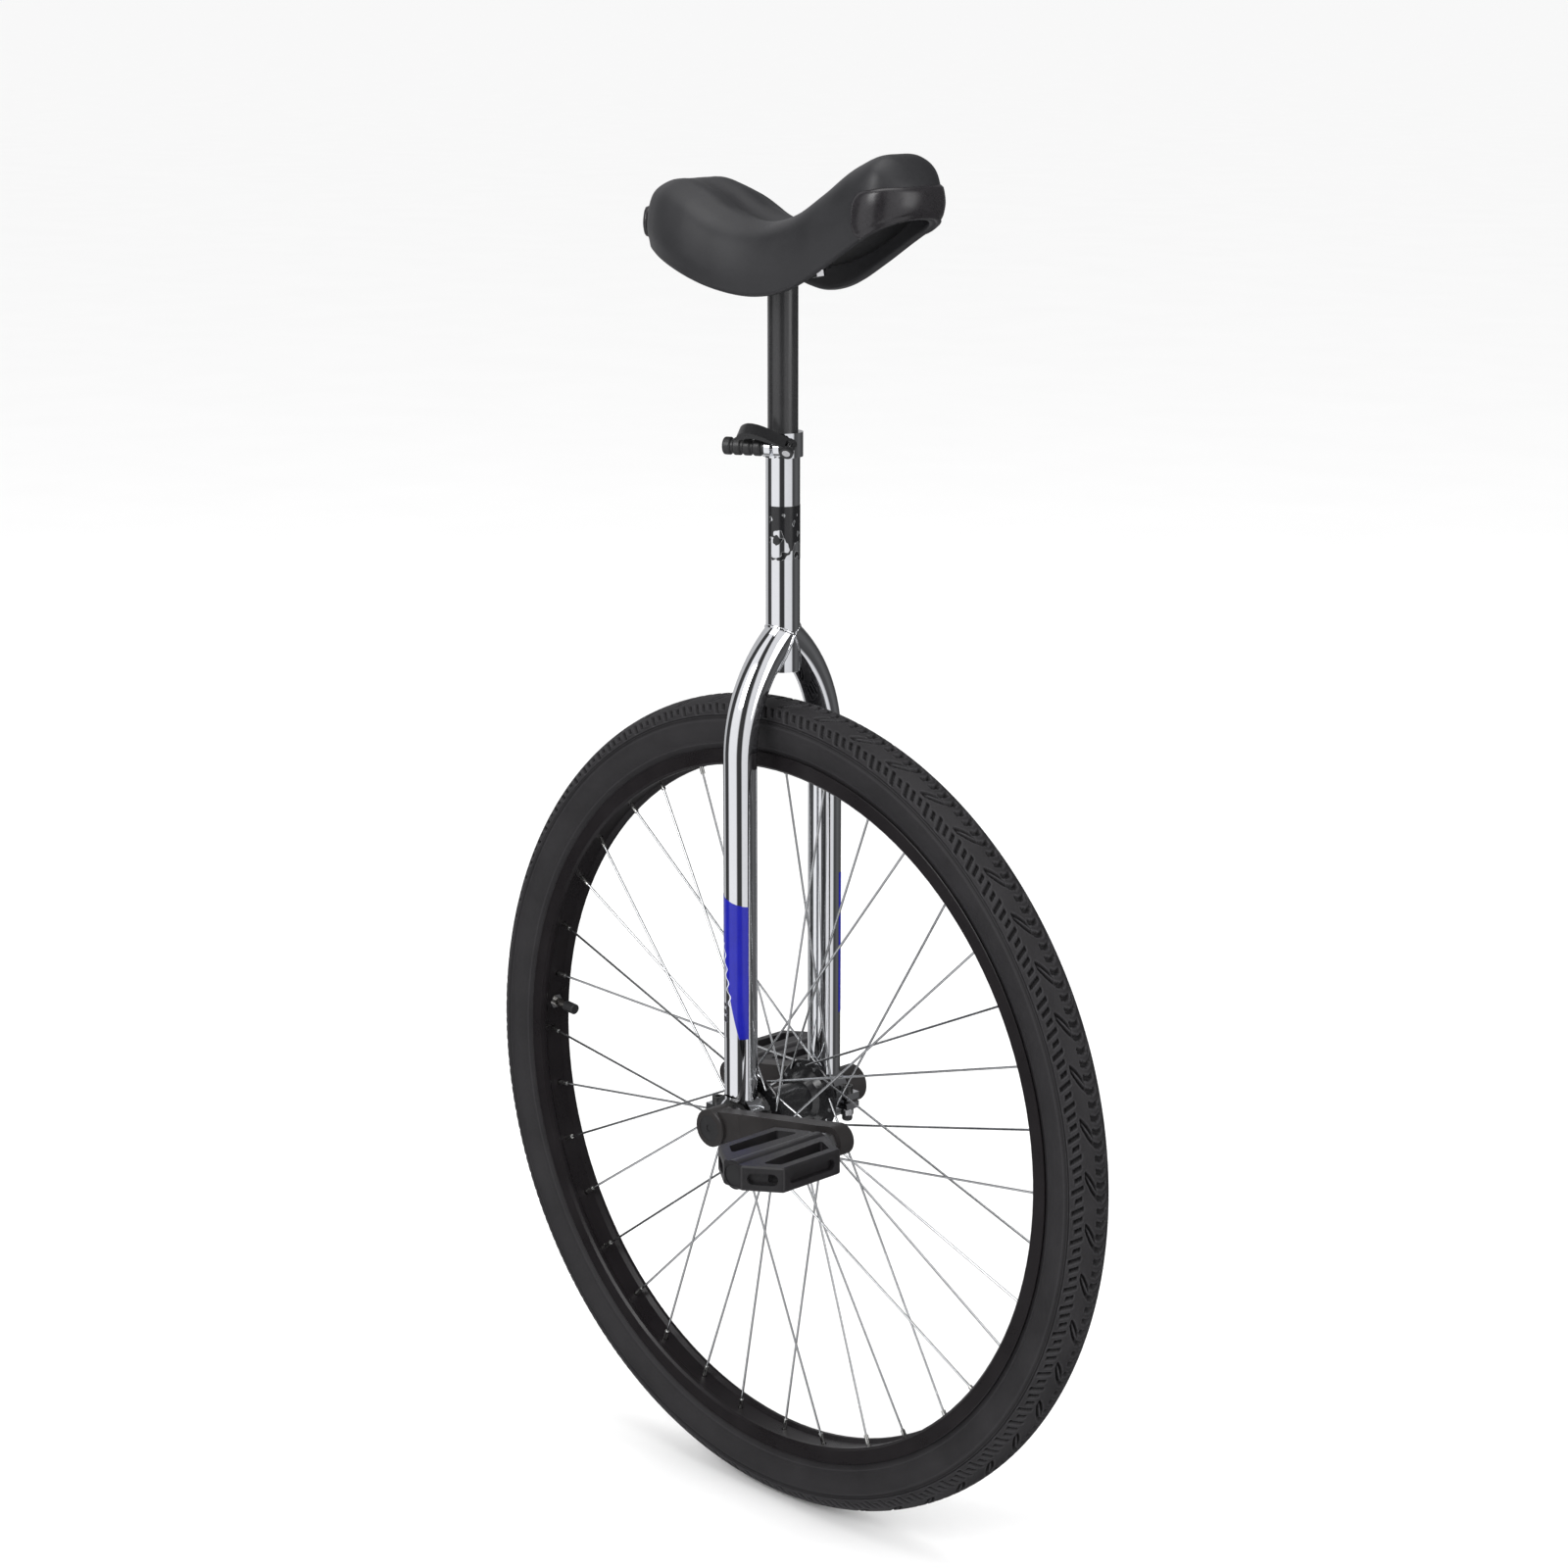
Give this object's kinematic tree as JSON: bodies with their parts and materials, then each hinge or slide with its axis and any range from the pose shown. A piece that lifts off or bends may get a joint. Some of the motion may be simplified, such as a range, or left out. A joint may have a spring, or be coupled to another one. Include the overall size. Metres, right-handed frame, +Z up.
{
  "type": "unicycle",
  "caption": "Single-wheel pedal cycle: chromed fork with ball-bearing hub, spoked wheel, cranks with platform pedals, quick-release seat post and a curved padded saddle.",
  "frame": {"origin": "point where the tyre touches the ground, straight under the hub", "axes": "+X towards the front of the rider, +Y towards the rider's left along the axle, +Z up along the seat tube; the wheel spins about Y"},
  "size_m": [0.7218, 0.401, 1.1762],
  "materials": {
    "tyre": "matt black rubber",
    "butyl": "matt",
    "black_rim": "satin black anodised",
    "brass": "bright",
    "bright_steel": "zinc bright",
    "black_plastic": "satin",
    "spoke_steel": "bright",
    "nipple_brass": "nickel plated",
    "black_steel": "semi-gloss black",
    "axle_steel": "oiled",
    "bearing_steel": "polished",
    "cage_plastic": "moulded nylon",
    "chrome": "mirror",
    "black_crank": "satin black",
    "pedal_resin": "moulded",
    "black_bolt": "black oxide",
    "blue_decal": "printed film",
    "black_decal": "printed film",
    "black_lever": "satin black",
    "black_post": "satin black",
    "saddle_base": "moulded",
    "foam": "open-cell foam",
    "saddle_cover": "smooth vinyl-like skin",
    "bumper_plastic": "semi-gloss"
  },
  "bodies": {
    "frame": {"steerer_tube": "chrome", "left_leg": "chrome", "right_leg": "chrome", "left_bearing_holder": "chrome", "right_bearing_holder": "chrome", "left_bearing_cap": "chrome", "right_bearing_cap": "chrome", "clamp_bolts": "black_bolt", "clamp_washers": "bright_steel", "clamp_nuts": "bright_steel", "clamp_nut_caps": "black_plastic", "left_bearing_outer_ring": "bearing_steel", "right_bearing_outer_ring": "bearing_steel", "bearing_shields": "butyl", "leg_decals": "blue_decal", "steerer_decal": "black_decal"},
    "wheel": {"tyre": "tyre", "inner_tube": "butyl", "rim": "black_rim", "rim_strip": "butyl", "valve_stem": "brass", "valve_nut": "bright_steel", "valve_cap": "black_plastic", "left_spokes": "spoke_steel", "right_spokes": "spoke_steel", "spoke_nipples": "nipple_brass", "hub_shell": "black_steel", "axle": "axle_steel", "axle_spacers": "axle_steel", "bearing_inner_rings": "bearing_steel", "left_crank": "black_crank", "right_crank": "black_crank", "crank_bolts": "bright_steel", "crank_dust_caps": "black_plastic", "left_pedal_spindle": "axle_steel", "right_pedal_spindle": "axle_steel", "pedal_locknuts": "bright_steel"},
    "left_bearing_race": {"left_bearing_cage": "cage_plastic", "left_bearing_balls": "bearing_steel"},
    "right_bearing_race": {"right_bearing_cage": "cage_plastic", "right_bearing_balls": "bearing_steel"},
    "left_pedal": {"left_pedal_body": "pedal_resin", "left_pedal_bushes": "cage_plastic", "left_pedal_end_cap": "black_plastic"},
    "right_pedal": {"right_pedal_body": "pedal_resin", "right_pedal_bushes": "cage_plastic", "right_pedal_end_cap": "black_plastic"},
    "collar": {"seat_collar": "chrome", "skewer": "bright_steel"},
    "lever": {"lever": "black_lever"},
    "knob": {"knob": "black_plastic"},
    "saddle_post": {"seat_post": "black_post", "saddle_bracket": "black_steel", "saddle_bolts": "bright_steel", "saddle_nuts": "bright_steel", "saddle_base": "saddle_base", "saddle_foam": "foam", "saddle_cover": "saddle_cover", "front_bumper": "bumper_plastic", "rear_bumper": "bumper_plastic"}
  },
  "joints": [
    {"name": "wheel_spin", "type": "hinge", "parent": "frame", "child": "wheel", "pos_m": [0, 0, 0.361], "axis": [0, 1, 0], "continuous": true},
    {"name": "left_bearing_roll", "type": "hinge", "parent": "frame", "child": "left_bearing_race", "pos_m": [0, 0.05, 0.361], "axis": [0, 1, 0], "continuous": true},
    {"name": "right_bearing_roll", "type": "hinge", "parent": "frame", "child": "right_bearing_race", "pos_m": [0, -0.05, 0.361], "axis": [0, 1, 0], "continuous": true},
    {"name": "left_pedal_spin", "type": "hinge", "parent": "wheel", "child": "left_pedal", "pos_m": [-0.14763, 0.1518, 0.33444], "axis": [0, 1, 0], "continuous": true},
    {"name": "right_pedal_spin", "type": "hinge", "parent": "wheel", "child": "right_pedal", "pos_m": [0.14763, -0.1518, 0.38756], "axis": [0, 1, 0], "continuous": true},
    {"name": "saddle_swivel", "type": "hinge", "parent": "frame", "child": "collar", "pos_m": [0, 0, 0.9366], "axis": [0, 0, 1], "continuous": true},
    {"name": "saddle_height", "type": "slide", "parent": "collar", "child": "saddle_post", "axis": [0, 0, 1], "range_m": [-0.06, 0.065]},
    {"name": "quick_release", "type": "hinge", "parent": "collar", "child": "lever", "pos_m": [0.0211, -0.01474, 0.936], "axis": [-0.3591, 0.7362, 0.5736], "range_deg": [0, 160]},
    {"name": "knob_turn", "type": "hinge", "parent": "collar", "child": "knob", "pos_m": [-0.01261, -0.03118, 0.936], "axis": [-0.8988, -0.4384, 0], "continuous": true}
  ],
  "couplings": [
    {"joint": "left_bearing_roll", "follows": "wheel_spin", "ratio": 0.3818},
    {"joint": "right_bearing_roll", "follows": "wheel_spin", "ratio": 0.3818}
  ]
}
